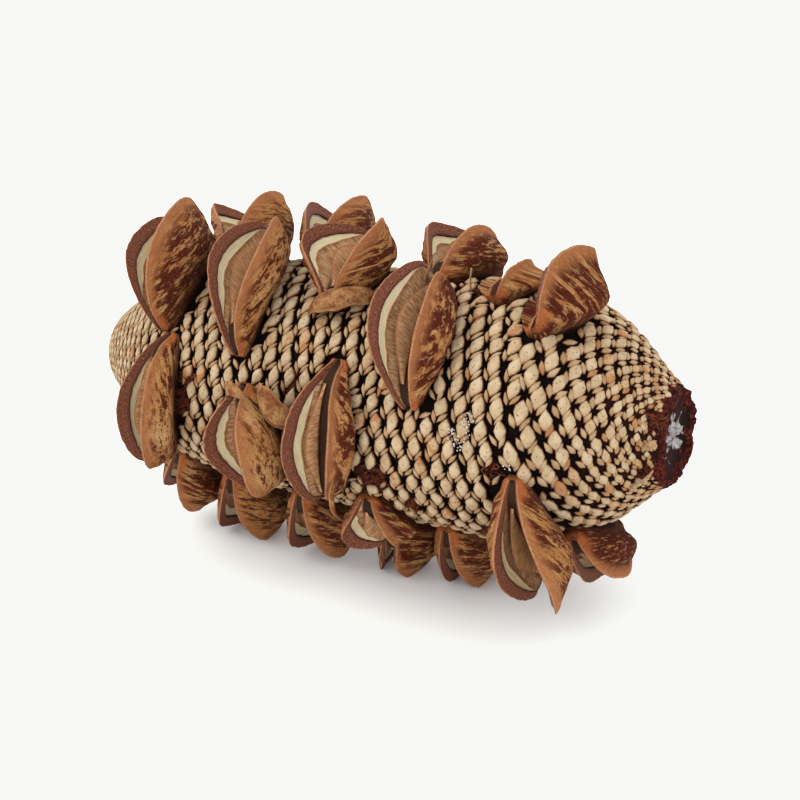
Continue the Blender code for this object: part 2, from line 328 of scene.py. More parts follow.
felt = Nodes("core_felt")
felt_place = felt.place()
felt_speck = felt.noise(felt_place, 2600.0, 4.0)
felt_patch = felt.noise(felt_place, 160.0, 3.0)
# Painted shade: the felt is set near black, darker than it is, for the shade in the gaps between bract
# ends.
felt_black_with_painted_shade = felt.ramp(
    felt_speck, [(0.35, (0.0012, 0.0006, 0.0006)), (0.7, (0.007, 0.0035, 0.0025))]
)
felt_red = felt.ramp(felt_speck, [(0.3, (0.006, 0.0018, 0.0014)), (0.75, (0.04, 0.011, 0.006))])
felt_end = felt.attribute("stalk_end").outputs["Fac"]
felt_redness = felt.maths("MULTIPLY", felt_end, felt.span(felt_patch, 0.3, 0.6))
felt_material = felt.finish(
    felt.mix(felt_redness, felt_black_with_painted_shade, felt_red), 0.95, felt_speck, 0.0003
)

felt_points = []
felt_stalk_end = []
for station in np.linspace(CORE_STATIONS[0][0] + 0.12, FELT_END, FELT_RINGS):
    radius = core_radius(station)
    depth = FELT_DEPTH * radius / CORE_MIDDLE_RADIUS
    for index in range(FELT_AROUND):
        angle = 360.0 * index / FELT_AROUND
        place = lie(station, angle, radius)
        rough = noise.noise(place / MM * 0.8) * 0.12 + noise.noise(place / MM * 0.3) * 0.15
        felt_points.append(lie(station, angle, radius - depth + rough * radius / CORE_MIDDLE_RADIUS))
        felt_stalk_end.append(part_way(station, 44.0, 14.0))
felt_points += [lie(CORE_STATIONS[0][0] + 0.1, 0, 0), lie(FELT_END - 1.1, 0, 0)]
felt_stalk_end += [0.0, 1.0]
felt_faces = tube_faces(FELT_RINGS, FELT_AROUND)
felt_faces += fan_faces(0, FELT_AROUND, len(felt_points) - 2, turned=True)
felt_faces += fan_faces((FELT_RINGS - 1) * FELT_AROUND, FELT_AROUND, len(felt_points) - 1)
felt_piece = new_piece(
    "core_felt", felt_points, felt_faces, felt_material, {"stalk_end": felt_stalk_end}
)
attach(felt_piece, "root")
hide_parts("core")


# Follicles: their places and the sections they share.
# Each follicle is a hard pod that grew out of the core and split open in two valves after
# the fire that ripens it. The rows give the same places and sizes as the solids have.

# A row: station, angle and span on the core, the valves' heights, their leans, the beak's end
# and the slew. The first valve of each pair is the one nearer the apex.
FOLLICLES = (
    (-47.0, 66, 60, 14.9, 18.3, 16, 12, 1, 0), (-28.2, 64, 72, 11.3, 12.6, 24, 17, 1, -5),
    (-6.6, 77, 40, 11.7, 13.8, 40, 17, 1, 3), (15.2, 46, 58, 13.2, 10.5, 21, 2, 1, -1),
    (39.2, 74, 30, 2.5, 15.6, 12, -18, 1, 4.5), (-46.6, -5, 80, 9.3, 9.7, 14, 16, -1, -5),
    (-19.7, -6, 44, 10.7, 13.1, 31, 5, -1, 6), (-3.0, 0.5, 66, 9.0, 7.8, 25, 20, -1, -2.8),
    (39.0, -31, 50, 14.8, 18.3, 9, 14, -1, 2), (-42.0, 117, 46, 15.0, 16.8, 31, 11, 1, 0),
    (-22.0, 116, 56, 14.0, 16.2, 20, 12, 1, -4), (11.5, 106, 46, 11.0, 11.4, 32, 0, 1, 3),
    (26.8, 87, 22, 2.5, 6.6, 2, -10, 1, 3), (-49.4, -80, 48, 13.0, 15.5, 14, 4, -1, 0),
    (-35.5, -81, 44, 15.66, 15.66, 14, 10, -1, 1), (-16.5, -76, 48, 14.15, 14.15, 14, 12, -1, 0),
    (4.6, -48, 26, 9.5, 7.0, 32, 14, -1, 3), (2.0, -90, 38, 15.59, 15.59, 12, 2, 1, 0),
    (16.4, -87, 48, 15.52, 15.52, 2, 4, -1, 0), (45.2, -75, 50, 10.0, 11.5, 4, 6, -1, 0),
    (-39.0, -150, 56, 14.0, 14.0, 16, 5, 1, 0), (-6.5, -148, 54, 14.5, 14.5, 14, 5, -1, 0),
    (31.5, -119, 54, 15.0, 15.0, 14, 5, 1, 0), (13.0, -152, 48, 14.0, 14.0, 18, 5, 1, -3),
    (-55.0, -171, 60, 13.0, 13.0, 14, 5, -1, 0), (-23.0, -162, 52, 14.5, 14.5, 18, 2, 1, 0),
    (27.0, 177, 54, 14.0, 14.0, 16, 5, 1, 0), (45.0, -160, 52, 11.0, 11.0, 12, 4, -1, 0),
)
BLUNTNESS = {5: 0.5, 13: 0.55, 20: 0.6}
FOOT_DEPTH = 2.0
GAP_HALF = 1.3
GAP_FLOOR = 2.6
RIM_THICKNESS = 1.5
LIP_DEPTH = 2.6
BASE_HALF = 5.0
BRACT_RISE = 0.8
APEX_BULGE = 1.6
STALK_BULGE = 3.6
BEAK_OPENING = 0.42
END_DEPTH = 0.7
END_LIP_DEPTH = 0.3
LOWEST_RIM = 1.7
FOLLICLE_PROFILE = (
    (0.0, 0.1), (0.08, 0.36), (0.2, 0.64), (0.35, 0.87), (0.5, 0.98), (0.64, 1.0),
    (0.8, 0.94), (0.92, 0.8), (1.0, 0.6),
)


def half_turn(angle, whole):
    """An angle brought to within half of a whole turn either way."""
    return (angle + whole / 2) % whole - whole / 2


def swell_at(share):
    """A follicle's fullness at a share of its length, none at its ends and 1 in the middle."""
    return math.sin(math.pi * part_way(share, 0.0, 1.0)) ** 0.7


class Follicle:
    """One follicle's place on the core and the widths of its section."""

    def __init__(self, number, row):
        self.number = number
        self.name = f"follicle_{number:02d}"
        self.station, self.angle, self.span = row[:3]
        self.heights = row[3:5]
        self.leans = row[5:7]
        self.beak_end, self.slew = row[7:]
        self.bluntness = BLUNTNESS.get(number, 1.0)
        radius = core_radius(self.station)
        self.length = math.radians(self.span) * (radius + self.heights[1] * 0.5)

    def profile(self, share):
        """The rims' height at a share of the length, as a share of the most."""
        return max(smooth_through(FOLLICLE_PROFILE, share), 0.05) ** self.bluntness

    def gap_at(self, share):
        """The gap's floor and half-width, under the lower of the two rims."""
        opened = self.opened(share)
        lower_rim = max(min(self.heights) * self.profile(share), LOWEST_RIM)
        closed_floor = lower_rim - END_DEPTH
        floor = closed_floor - (closed_floor - min(GAP_FLOOR, closed_floor)) * opened
        return floor, GAP_HALF * (0.3 + 0.7 * opened)

    def place(self, share, across, out):
        """A point in metres at a share of the length, across and out from the core."""
        station = self.station + self.slew * (share - 0.5)
        angle = self.angle + self.beak_end * (share - 0.5) * self.span
        slope = core_slope(station)
        along = station + across * math.cos(slope) - out * math.sin(slope)
        radius = core_radius(station) + across * math.sin(slope) + out * math.cos(slope)
        return lie(along, angle, radius)

    def opened(self, share):
        """How far apart the valves are, from closed at 0 to widest at 1."""
        return swell_at(share) if share < 0.5 else max(swell_at(share), BEAK_OPENING)

    def base(self, share):
        """Half of the width at the core's surface, in millimetres."""
        return BASE_HALF * (0.24 + 0.76 * swell_at(share))

    def covers(self, station, angle, margin):
        """Whether a place on the core lies under the follicle or within a margin of it."""
        share = 0.5 + self.beak_end * half_turn(angle - self.angle, 360.0) / self.span
        past_end = margin / max(self.length, 1.0)
        if not -past_end < share < 1.0 + past_end:
            return False
        middle = self.station + self.slew * (share - 0.5)
        return abs(station - middle) / math.cos(core_slope(station)) < self.base(share) + margin


follicles = [Follicle(index + 1, row) for index, row in enumerate(FOLLICLES)]


# Bract ends.
# The core is tiled with the hard pale tips of its flower bracts: one plump lozenge for each
# pair of flowers and two thin slivers beside it, packed in spirals and worn smooth.

# Each spiral lattice: its two steps as rows along the core and radians round it, and its start.
STALK_SIDE_LATTICE = ((0.21, -0.01), (-0.08925, 0.16133), (0.5542, 0.7091))
APEX_SIDE_LATTICE = ((0.15, 0.015), (-0.0462, 0.15649), (0.3005, 0.5615))
LATTICES_MEET = 36.6
JOINT_ROWS = 0.13
JOINT_REACH = 0.1
LOZENGE = (5.1, 3.1)
FLAT_SLIVER = (3.3, 1.25)
UPRIGHT_SLIVER = (3.1, 1.2)
LOZENGE_RINGS = ((0.98, -0.9, 0.0), (1.03, 0.0, 0.25), (0.89, 0.44, 0.75), (0.52, 0.78, 1.0))
SLIVER_RINGS = ((0.98, -0.9, 0.0), (1.04, -0.1, 0.25), (0.9, 0.2, 0.7), (0.5, 0.42, 1.0))
EDGE_TURN = math.radians(29.0)
BRACT_VARIANTS = 6
BRACT_FIELDS = {
    "turn": "FLOAT_VECTOR", "size": "FLOAT_VECTOR", "variant": "INT", "tint": "FLOAT",
    "pore_a": "FLOAT_VECTOR", "pore_b": "FLOAT_VECTOR",
}
NO_PORE = (9.0, 9.0, 9.0)
# Each patch where bracts have torn out: station, angle, reach and how many fibres stand there.
FIBRE_PATCHES = (
    (6.0, -21.0, 3.4, 190), (13.0, -35.0, 2.4, 90), (-0.5, 27.0, 1.5, 40), (-12.0, 19.0, 1.6, 50),
    (-40.0, -2.0, 3.0, 150), (-38.0, 12.0, 2.0, 70), (33.5, -3.0, 1.2, 30), (30.0, -50.0, 4.0, 140),
    (21.0, 84.0, 2.2, 40), (-57.0, 78.0, 2.6, 90), (60.0, 40.0, 2.0, 60), (59.5, -20.0, 2.0, 60),
)
BRACT_SEED = 41

bract_draws = random.Random(BRACT_SEED)
fine_stations = np.linspace(-72.55, 60.9, 2670)
fine_radii = np.array([core_radius(station) for station in fine_stations])
fine_lengths = np.hypot(np.diff(fine_stations), np.diff(fine_radii))
fine_turns = fine_lengths / ((fine_radii[1:] + fine_radii[:-1]) / 2)
fine_rows = np.concatenate(([0.0], np.cumsum(fine_turns)))
fine_rows -= np.interp(25.0, fine_stations, fine_rows)


def row_station(row):
    """Station in millimetres at a place in rows, which are as long as the core is thick there."""
    return float(np.interp(row, fine_rows, fine_stations))


def lattice_places(lattice, at_stalk_side):
    """Rows, angles and steps of a spiral lattice on its own side of the core."""
    places = []
    step, turn, start = lattice
    for i in range(-80, 80):
        for j in range(-90, 90):
            row = start[0] + i * step[0] + j * turn[0]
            around = start[1] + i * step[1] + j * turn[1]
            if not (0.0 <= around < 2 * math.pi and fine_rows[0] < row < fine_rows[-1]):
                continue
            if (row_station(row) >= LATTICES_MEET) == at_stalk_side:
                places.append((row, around, step, turn))
    return places


def stands_apart(place, others):
    """Whether a bract end clears those of the other lattice where the two meet."""
    for other in others:
        rows = other[0] - place[0]
        if abs(rows) < JOINT_ROWS:
            if math.hypot(rows, half_turn(other[1] - place[1], 2 * math.pi)) < JOINT_REACH:
                return False
    return True


bract_places = lattice_places(STALK_SIDE_LATTICE, True)
for bract_place in lattice_places(APEX_SIDE_LATTICE, False):
    if stands_apart(bract_place, bract_places):
        bract_places.append(bract_place)


def lozenge_width(u, belly):
    """Half-width of a bract end at a place from -1 to 1 along it, as a share of the most."""
    shifted = u - belly * (1 - u * u)
    return max(1 - abs(shifted) ** 1.65, 0.0) ** 0.9


def bract_shape(name, around, rings, belly, bend, draws):
    """A bract end one unit long and wide, with its foot sunk in the felt."""
    points = []
    crest = []
    uneven = [draws.uniform(0.93, 1.05) for _ in range(around)]
    for size, height, rise in rings:
        for index in range(around):
            turn = 2 * math.pi * index / around
            u = math.cos(turn)
            v = lozenge_width(u, belly) * math.copysign(1.0, math.sin(turn))
            if abs(math.sin(turn)) < 1e-6:
                v = 0.0
            reach = 0.5 * size * uneven[index]
            points.append((reach * u, reach * v + 0.5 * bend * (1 - u * u), height))
            crest.append(rise)
    points.append((0.0, 0.5 * bend, rings[-1][1] + 0.05))
    crest.append(1.0)
    faces = tube_faces(len(rings), around)
    faces += fan_faces((len(rings) - 1) * around, around, len(points) - 1)
    return loose_shape(name, points, faces, {"crest": crest, "local": points})


def scatter_tree(name):
    """Sets a variant on every point, turned, sized and then made one mesh."""
    tree = bpy.data.node_groups.new(name, "GeometryNodeTree")
    for label, kind in (
        ("Points", "Geometry"), ("Variants", "Collection"), ("Length", "Float"), ("Width", "Float"),
        ("Height", "Float"), ("Finish", "Material"),
    ):
        tree.interface.new_socket(label, in_out="INPUT", socket_type=f"NodeSocket{kind}")
    tree.interface.new_socket("Mesh", in_out="OUTPUT", socket_type="NodeSocketGeometry")
    nodes = tree.nodes
    link = tree.links.new

    def named(label, kind):
        node = nodes.new("GeometryNodeInputNamedAttribute")
        node.data_type = kind
        node.inputs["Name"].default_value = label
        return node.outputs["Attribute"]

    source = nodes.new("NodeGroupInput").outputs
    sizes = nodes.new("ShaderNodeCombineXYZ")
    for label, axis in (("Length", "X"), ("Width", "Y"), ("Height", "Z")):
        link(source[label], sizes.inputs[axis])
    scale = nodes.new("ShaderNodeVectorMath")
    scale.operation = "MULTIPLY"
    link(sizes.outputs["Vector"], scale.inputs[0])
    link(named("size", "FLOAT_VECTOR"), scale.inputs[1])
    turn = nodes.new("FunctionNodeEulerToRotation")
    link(named("turn", "FLOAT_VECTOR"), turn.inputs["Euler"])
    variants = nodes.new("GeometryNodeCollectionInfo")
    variants.inputs["Separate Children"].default_value = True
    variants.inputs["Reset Children"].default_value = True
    link(source["Variants"], variants.inputs["Collection"])
    place = nodes.new("GeometryNodeInstanceOnPoints")
    place.inputs["Pick Instance"].default_value = True
    link(source["Points"], place.inputs["Points"])
    link(variants.outputs["Instances"], place.inputs["Instance"])
    link(named("variant", "INT"), place.inputs["Instance Index"])
    link(turn.outputs["Rotation"], place.inputs["Rotation"])
    link(scale.outputs["Vector"], place.inputs["Scale"])
    realize = nodes.new("GeometryNodeRealizeInstances")
    link(place.outputs["Instances"], realize.inputs["Geometry"])
    finish = nodes.new("GeometryNodeSetMaterial")
    link(realize.outputs["Geometry"], finish.inputs["Geometry"])
    link(source["Finish"], finish.inputs["Material"])
    link(finish.outputs["Geometry"], nodes.new("NodeGroupOutput").inputs["Mesh"])
    return tree


def scatter(name, group, shapes, sizes, material):
    """Run the tree over a group's points and return the result as a plain mesh piece."""
    collection = bpy.data.collections.new(f"{name}_variants")
    for shape in shapes:
        collection.objects.link(shape)
    mesh = bpy.data.meshes.new(f"{name}_points")
    mesh.from_pydata([tuple(point) for point in group["points"]], [], [])
    for label, kind in BRACT_FIELDS.items():
        if label in group:
            field = "vector" if kind == "FLOAT_VECTOR" else "value"
            flat = np.asarray(group[label], dtype=np.int32 if kind == "INT" else np.float32).ravel()
            mesh.attributes.new(label, kind, "POINT").data.foreach_set(field, flat)
    carrier = bpy.data.objects.new(f"{name}_carrier", mesh)
    bpy.context.scene.collection.objects.link(carrier)
    modifier = carrier.modifiers.new("scatter", "NODES")
    modifier.node_group = scatter_tree(f"{name}_scatter")
    values = {"Variants": collection, "Finish": material}
    values.update(zip(("Length", "Width", "Height"), sizes))
    for item in modifier.node_group.interface.items_tree:
        if item.in_out == "INPUT" and item.name in values:
            modifier[item.identifier] = values[item.name]
    evaluated = carrier.evaluated_get(bpy.context.evaluated_depsgraph_get())
    result = bpy.data.meshes.new_from_object(evaluated)
    result.name = name
    carrier.modifiers.remove(modifier)
    bpy.data.objects.remove(carrier, do_unlink=True)
    for shape in shapes:
        bpy.data.objects.remove(shape, do_unlink=True)
    bpy.data.collections.remove(collection)
    piece = bpy.data.objects.new(name, result)
    bpy.context.scene.collection.objects.link(piece)
    return piece


def srgb(red, green, blue):
    """A linear colour that shows as display values of 0 to 255 in this bright light."""
    shares = [channel / 255.0 for channel in (red, green, blue)]
    linear = [share / 12.92 if share <= 0.04045 else ((share + 0.055) / 1.055) ** 2.4 for share in shares]
    return tuple(value / LIGHT_LEVEL for value in linear)


def bract_finish(name, pale, warm, dull):
    """Bare pale wood with pinholes on top, and sides in painted shade, brown and then near black toward
    the foot.
    """
    wood = Nodes(name)
    place = wood.place()
    crest = wood.attribute("crest").outputs["Fac"]
    tint = wood.attribute("tint").outputs["Fac"]
    local = wood.attribute("local").outputs["Vector"]
    coarse = wood.noise(place, 420.0, 2.0)
    fine = wood.noise(place, 2400.0, 3.0)
    colour = wood.mix(wood.span(coarse, 0.35, 0.65), pale, dull)
    toward_tip = wood.add("ShaderNodeSeparateXYZ", {"Vector": local}).outputs["X"]
    uneven_tip = wood.maths("MULTIPLY_ADD", coarse, 0.5, toward_tip)
    warm_end = wood.span(uneven_tip, -0.35, 0.25, 1.0, 0.0)
    colour = wood.mix(wood.maths("MULTIPLY", warm_end, 0.6), colour, warm)
    colour = wood.mix(wood.span(tint, 0.7, 1.0, 0.0, 0.8), colour, warm)
    blotch = wood.maths("MULTIPLY", wood.span(tint, 0.86, 0.9), wood.span(coarse, 0.5, 0.6))
    colour = wood.mix(wood.maths("MULTIPLY", blotch, 0.6), colour, srgb(186, 110, 58))
    colour = wood.mix(wood.span(fine, 0.3, 0.7, 0.18, 0.0), colour, srgb(120, 84, 50))
    for label in ("pore_a", "pore_b"):
        pore = wood.attribute(label).outputs["Vector"]
        flat_local = wood.stretch(local, (1.0, 0.55, 0.0))
        away = wood.add("ShaderNodeVectorMath", {0: flat_local, 1: pore}, operation="DISTANCE")
        hole = wood.span(away.outputs["Value"], 0.014, 0.034, 1.0, 0.0)
        colour = wood.mix(wood.maths("MULTIPLY", hole, 0.85), colour, srgb(58, 38, 24))
    # Painted shade: the bract end darkens down its sides, to brown and then near black at its foot in the
    # felt.
    painted_side_shade = wood.span(wood.maths("MULTIPLY_ADD", fine, 0.3, crest), 0.62, 1.08, 1.0, 0.0)
    colour = wood.mix(painted_side_shade, colour, srgb(96, 56, 30))
    painted_foot_shade = wood.span(wood.maths("MULTIPLY_ADD", fine, 0.2, crest), 0.3, 0.62, 1.0, 0.0)
    colour = wood.mix(painted_foot_shade, colour, srgb(14, 5, 4))
    return wood.finish(colour, wood.span(fine, 0.2, 0.8, 0.62, 0.8), fine, 0.00012)


def bract_frame(station, angle, lean):
    """Euler turn of a bract end: its length leaning off the way round the core."""
    slope = core_slope(station)
    along = lie_direction(math.cos(slope), angle, math.sin(slope), 0.0)
    around = lie_direction(0.0, angle, 0.0, 1.0)
    out = lie_direction(-math.sin(slope), angle, math.cos(slope), 0.0)
    long_way = (around * math.cos(lean) + along * math.sin(lean)).normalized()
    wide_way = out.cross(long_way).normalized()
    turn = Matrix((long_way, wide_way, out)).transposed()
    return turn.to_euler("XYZ")


bract_sets = {
    kind: {label: [] for label in ("points", *BRACT_FIELDS)}
    for kind in ("lozenge", "flat_sliver", "upright_sliver")
}


def add_bract(kind, row, around, lean, stretch, margin):
    """Note one bract end, unless a follicle or a patch of fibres stands there."""
    angle = math.degrees(around)
    if not fine_rows[0] < row < fine_rows[-1]:
        return
    station = row_station(row)
    if any(follicle.covers(station, angle, margin) for follicle in follicles):
        return
    for middle, at, reach, _ in FIBRE_PATCHES:
        across = math.radians(half_turn(angle - at, 360.0)) * core_radius(station)
        if math.hypot(station - middle, across) < reach * bract_draws.uniform(0.6, 1.0):
            return
    radius = core_radius(station)
    scale = radius / CORE_MIDDLE_RADIUS
    slope = core_slope(station)
    group = bract_sets[kind]
    sunk = bract_draws.uniform(-0.1, 0.1) * scale
    foot = radius - sunk * math.cos(slope)
    group["points"].append(lie(station + sunk * math.sin(slope), angle, foot))
    group["turn"].append(tuple(bract_frame(station, angle, lean)))
    sizes = [scale * way * bract_draws.uniform(0.94, 1.06) for way in stretch]
    group["size"].append((*sizes, scale * bract_draws.uniform(0.85, 1.15)))
    group["variant"].append(bract_draws.randrange(BRACT_VARIANTS))
    group["tint"].append(bract_draws.random() + 0.3 * part_way(station, 51.0, 8.0))
    for label in ("pore_a", "pore_b"):
        spot = (bract_draws.uniform(-0.18, 0.22), bract_draws.uniform(-0.12, 0.12), 0.0)
        group[label].append(spot if kind == "lozenge" and bract_draws.random() < 0.75 else NO_PORE)


for row, around, step, turn in bract_places:
    station = row_station(row)
    stalk_end = part_way(station, 42.0, 16.0)
    tight = 1.0 if station < LATTICES_MEET else 0.0
    low = part_way(-math.degrees(half_turn(around, 2 * math.pi)), -45.0, 40.0)
    turning = part_way(station, 26.0, 12.0) * low
    lean = math.radians(12.0 - 26.0 * turning + bract_draws.uniform(-8.0, 8.0) * (1 + stalk_end))
    if any(follicle.covers(station, math.degrees(around), 3.2) for follicle in follicles):
        lean += math.radians(bract_draws.choice((-1.0, 1.0)) * bract_draws.uniform(8.0, 24.0))
    jitter = 0.008 + 0.02 * stalk_end
    row += bract_draws.uniform(-jitter, jitter)
    around += bract_draws.uniform(-jitter, jitter)
    longer = bract_draws.uniform(-0.08, 0.08)
    bigger = 1.07 - 0.15 * tight + bract_draws.uniform(-0.2, 0.12) * stalk_end
    add_bract(
        "lozenge", row, around, lean,
        (bigger * (1 + longer - 0.16 * stalk_end), bigger * (1 - longer)), 0.6,
    )
    sliver = (1.1 - 0.16 * tight, 1.45 + 0.3 * stalk_end - 0.5 * tight)
    add_bract(
        "flat_sliver", row - 0.5 * turn[0], around - 0.5 * turn[1], lean + EDGE_TURN, sliver, 0.3,
    )
    add_bract(
        "upright_sliver", row - 0.46 * (step[0] + turn[0]), around - 0.46 * (step[1] + turn[1]),
        lean - EDGE_TURN, sliver, 0.3,
    )

bract_wood = bract_finish("bract_wood", srgb(228, 200, 160), srgb(208, 164, 118), srgb(204, 174, 132))
sliver_wood = bract_finish("sliver_wood", srgb(212, 178, 134), srgb(188, 142, 98), srgb(180, 144, 102))
for kind, sizes, rings, around, material in (
    ("lozenge", LOZENGE, LOZENGE_RINGS, 12, bract_wood),
    ("flat_sliver", FLAT_SLIVER, SLIVER_RINGS, 10, sliver_wood),
    ("upright_sliver", UPRIGHT_SLIVER, SLIVER_RINGS, 10, sliver_wood),
):
    shapes = [
        bract_shape(
            f"{kind}_shape_{index}", around, rings, bract_draws.uniform(-0.18, 0.18),
            bract_draws.uniform(-0.08, 0.08), bract_draws,
        )
        for index in range(BRACT_VARIANTS)
    ]
    group = bract_sets[kind]
    sizes_in_metres = (sizes[0] * MM, sizes[1] * MM, MM)
    piece = scatter(f"bract_{kind}s", group, shapes, sizes_in_metres, material)
    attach(piece, "root")
    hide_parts("core")


# Valves.
# Outside, a valve is hard wood under a short velvet, tan with red-brown streaks. Inside, it
# is bare: a thin orange edge, a purple-brown band, a cream one and a striped seed chamber.

VALVE_STATIONS = 84
RIM_ROUND = 0.28
CREAM_WIDTH = 1.9
LINE_WIDTH = 0.42
WORN_FROM = 0.88
WORN_BY = {-1: 0.2, 1: 0.5}
SPUR_AT = 0.955
SPUR_REACH = 0.02
SPUR_SIZE = {-1: 1.0, 1: 0.5}
CROSS_GRAINED = (5, 13)
# How much redder each follicle's coat is. Follicles 6 and 7 are made less red, so paler, as painted light
# where light falls brighter on the lower left.
REDNESS_AND_PAINTED_LIGHT = {20: 0.14, 5: 0.03, 9: 0.0, 8: 0.01, 4: 0.04, 1: 0.03, 13: -0.06, 7: -0.07, 6: -0.06}


def smooth_line(points, count):
    """Points spaced along a smooth curve through a few, ends kept."""
    knots = np.array(points)
    lengths = np.concatenate(([0.0], np.cumsum(np.hypot(*np.diff(knots, axis=0).T))))
    steps = np.linspace(0.0, lengths[-1], count)
    across = [smooth_through(list(zip(lengths, knots[:, 0])), step) for step in steps]
    out = [smooth_through(list(zip(lengths, knots[:, 1])), step) for step in steps]
    return list(zip(across, out))


def wave(seed, at, scale):
    """Smooth unevenness from -1 to 1."""
    return noise.noise(Vector((at * scale, seed * 7.31, 3.7)))


def half_section(follicle, side, share):
    """Points of one valve from its foot over the rim to the gap, with their zone.

    Zones run from 0 to 1 up the outside, to 2 over the rim, to 3 down the purple-brown band, to 4
    over a step, to 5 over the cream band, to 6 over a thin line and to 7 down the seed chamber.
    """
    number = follicle.number * 2 + side * 0.5
    opened = follicle.opened(share)
    profile = follicle.profile(share)
    base = follicle.base(share)
    floor, gap = follicle.gap_at(share)
    height, lean, bulge = (
        (follicle.heights[0], follicle.leans[0], APEX_BULGE) if side < 0
        else (follicle.heights[1], follicle.leans[1], STALK_BULGE)
    )
    ends = min(min(share, 1.0 - share) * 8.0, 1.0) * min(height / 10.0, 1.0)
    worn = max((share - WORN_FROM) / (1.0 - WORN_FROM), 0.0) ** 2 * WORN_BY[side]
    rim = max(height * profile * (1 - worn), LOWEST_RIM)
    rim += (wave(number, share, 5.0) * 0.4 + wave(number + 20, share, 31.0) * 0.16) * ends
    thickness = RIM_THICKNESS * (0.3 + 0.7 * opened)
    inner = gap + (rim - floor) * math.tan(math.radians(lean)) * opened
    inner += wave(number + 50, share, 4.0) * 0.35 * opened
    inner = max(inner, 0.15) if lean >= 0 else inner
    outer = inner + thickness
    flank = (base + max(outer, base * 0.8)) / 2 + bulge * opened * profile + 0.2
    lip = rim - END_LIP_DEPTH - (LIP_DEPTH - END_LIP_DEPTH) * opened
    spur = math.exp(-((share - SPUR_AT) / SPUR_REACH) ** 2) * SPUR_SIZE[side] * ends
    rim_top = rim + spur * 1.2
    outer_top = outer + spur * 0.9
    round_size = RIM_ROUND * (0.5 + 0.5 * opened)

    outside = smooth_line(
        [
            (base - 0.5, -FOOT_DEPTH), (base, BRACT_RISE * 0.5),
            (flank, BRACT_RISE + (rim - BRACT_RISE) * 0.45),
            (outer + 0.45 * opened, rim - 1.1 * opened - 0.15), (outer_top, rim_top - round_size),
        ],
        18,
    )
    points = [(across, out, index / 17.0) for index, (across, out) in enumerate(outside)]
    for index, turn in enumerate((35.0, 75.0, 120.0)):
        across = outer_top - round_size + round_size * math.cos(math.radians(turn))
        out = rim_top - round_size + round_size * math.sin(math.radians(turn))
        points.append((across, out, 1.0 + (index + 1) * 0.3))
    band_start = (outer_top - round_size * 1.7, rim_top - round_size * 0.45)
    band_end = (inner, lip)
    for index in range(7):
        part = index / 6.0
        hollow = math.sin(math.pi * part) * 0.18 * opened
        across = band_start[0] + (band_end[0] - band_start[0]) * part + hollow
        out = band_start[1] + (band_end[1] - band_start[1]) * part - hollow * 0.7
        points.append((across, out, 2.0 + part))
    step = 0.34 * opened
    wall_top = (inner + step, lip - 0.3 * opened)
    points.append((inner + step * 0.15, lip - 0.2 * opened, 3.2))
    points.append((wall_top[0], wall_top[1], 3.5))
    wall_foot = (gap, floor)
    length = math.hypot(wall_top[0] - wall_foot[0], wall_top[1] - wall_foot[1])
    crescent = part_way(opened, 0.5, 0.4) * part_way(share, 0.12, 0.2)
    cream = min(CREAM_WIDTH * crescent + 0.02, length * 0.5)
    line = LINE_WIDTH * crescent + 0.01
    slope_across = (wall_foot[0] - wall_top[0]) / max(length, 0.01)
    slope_out = (wall_foot[1] - wall_top[1]) / max(length, 0.01)
    wall = [(cream * part, 4.0 + part, 0.0) for part in (0.0, 0.25, 0.5, 0.75, 1.0)]
    wall += [(cream + line * 0.35, 5.3, -0.14), (cream + line * 0.7, 5.7, -0.14)]
    wall.append((cream + line, 6.0, 0.0))
    rest = length - cream - line
    wall += [(cream + line + rest * part, 6.0 + part, 0.0) for part in (0.2, 0.4, 0.6, 0.8, 1.0)]
    for far, zone, rise in wall:
        swell = math.sin(math.pi * min(far / max(length, 0.01), 1.0)) * 0.4 * opened
        across = wall_top[0] + slope_across * far + (swell + rise * crescent)
        points.append((across, wall_top[1] + slope_out * far, zone))
    return [(side * across, out, zone) for across, out, zone in points]


def valve_mesh(follicle):
    """Both valves of a follicle as one closed body, with its surface coordinates."""
    points = []
    fields = {"zone": [], "grain": [], "share": [], "tone": []}
    tone_draws = random.Random(follicle.number * 31)
    tone = {side: REDNESS_AND_PAINTED_LIGHT.get(follicle.number, tone_draws.uniform(-0.05, 0.05)) for side in (-1, 1)}
    for index in range(VALVE_STATIONS):
        even = index / (VALVE_STATIONS - 1)
        share = 0.5 * (0.5 - 0.5 * math.cos(math.pi * even)) + 0.5 * even
        section = [(point, -1) for point in half_section(follicle, -1, share)]
        section += [(point, 1) for point in half_section(follicle, 1, share)[::-1]]
        for (across, out, zone), side in section:
            place = follicle.place(share, across, out)
            ridge = noise.noise(Vector((share * follicle.length * 0.14, out * 1.3, side * 9.0)))
            lump = noise.noise(place / MM * 0.4) * 0.42 + noise.noise(place / MM * 1.7) * 0.1
            if zone < 1.0 and out > 0.0:
                place = follicle.place(share, across + side * (lump + ridge * 0.2), out)
            place.z = max(place.z, 0.0)
            points.append(place)
            grain = [share * follicle.length, out + side * 20.0]
            if follicle.number in CROSS_GRAINED:
                grain.reverse()
            fields["zone"].append(zone)
            fields["grain"].append((*grain, follicle.number * 9.0))
            fields["share"].append(share)
            fields["tone"].append(tone[side])
    around = len(points) // VALVE_STATIONS
    faces = tube_faces(VALVE_STATIONS, around) + end_faces(VALVE_STATIONS, around)
    return points, faces, fields


valve = Nodes("valve_wood")
valve_place = valve.place()
zone = valve.attribute("zone").outputs["Fac"]
grain = valve.attribute("grain").outputs["Vector"]
share_along = valve.attribute("share").outputs["Fac"]
streak = valve.noise(valve.stretch(grain, (0.17, 0.75, 1.0)), 1.0, 4.0, 0.62, 0.5)
speckle = valve.noise(valve.stretch(grain, (2.2, 4.0, 1.0)), 1.0, 4.0, 0.7)
broad = valve.noise(valve_place, 110.0, 3.0, 0.6)
fibre = valve.noise(valve_place, 1500.0, 4.0, 0.65)
velvet = valve.noise(valve_place, 3200.0, 3.0, 0.7)

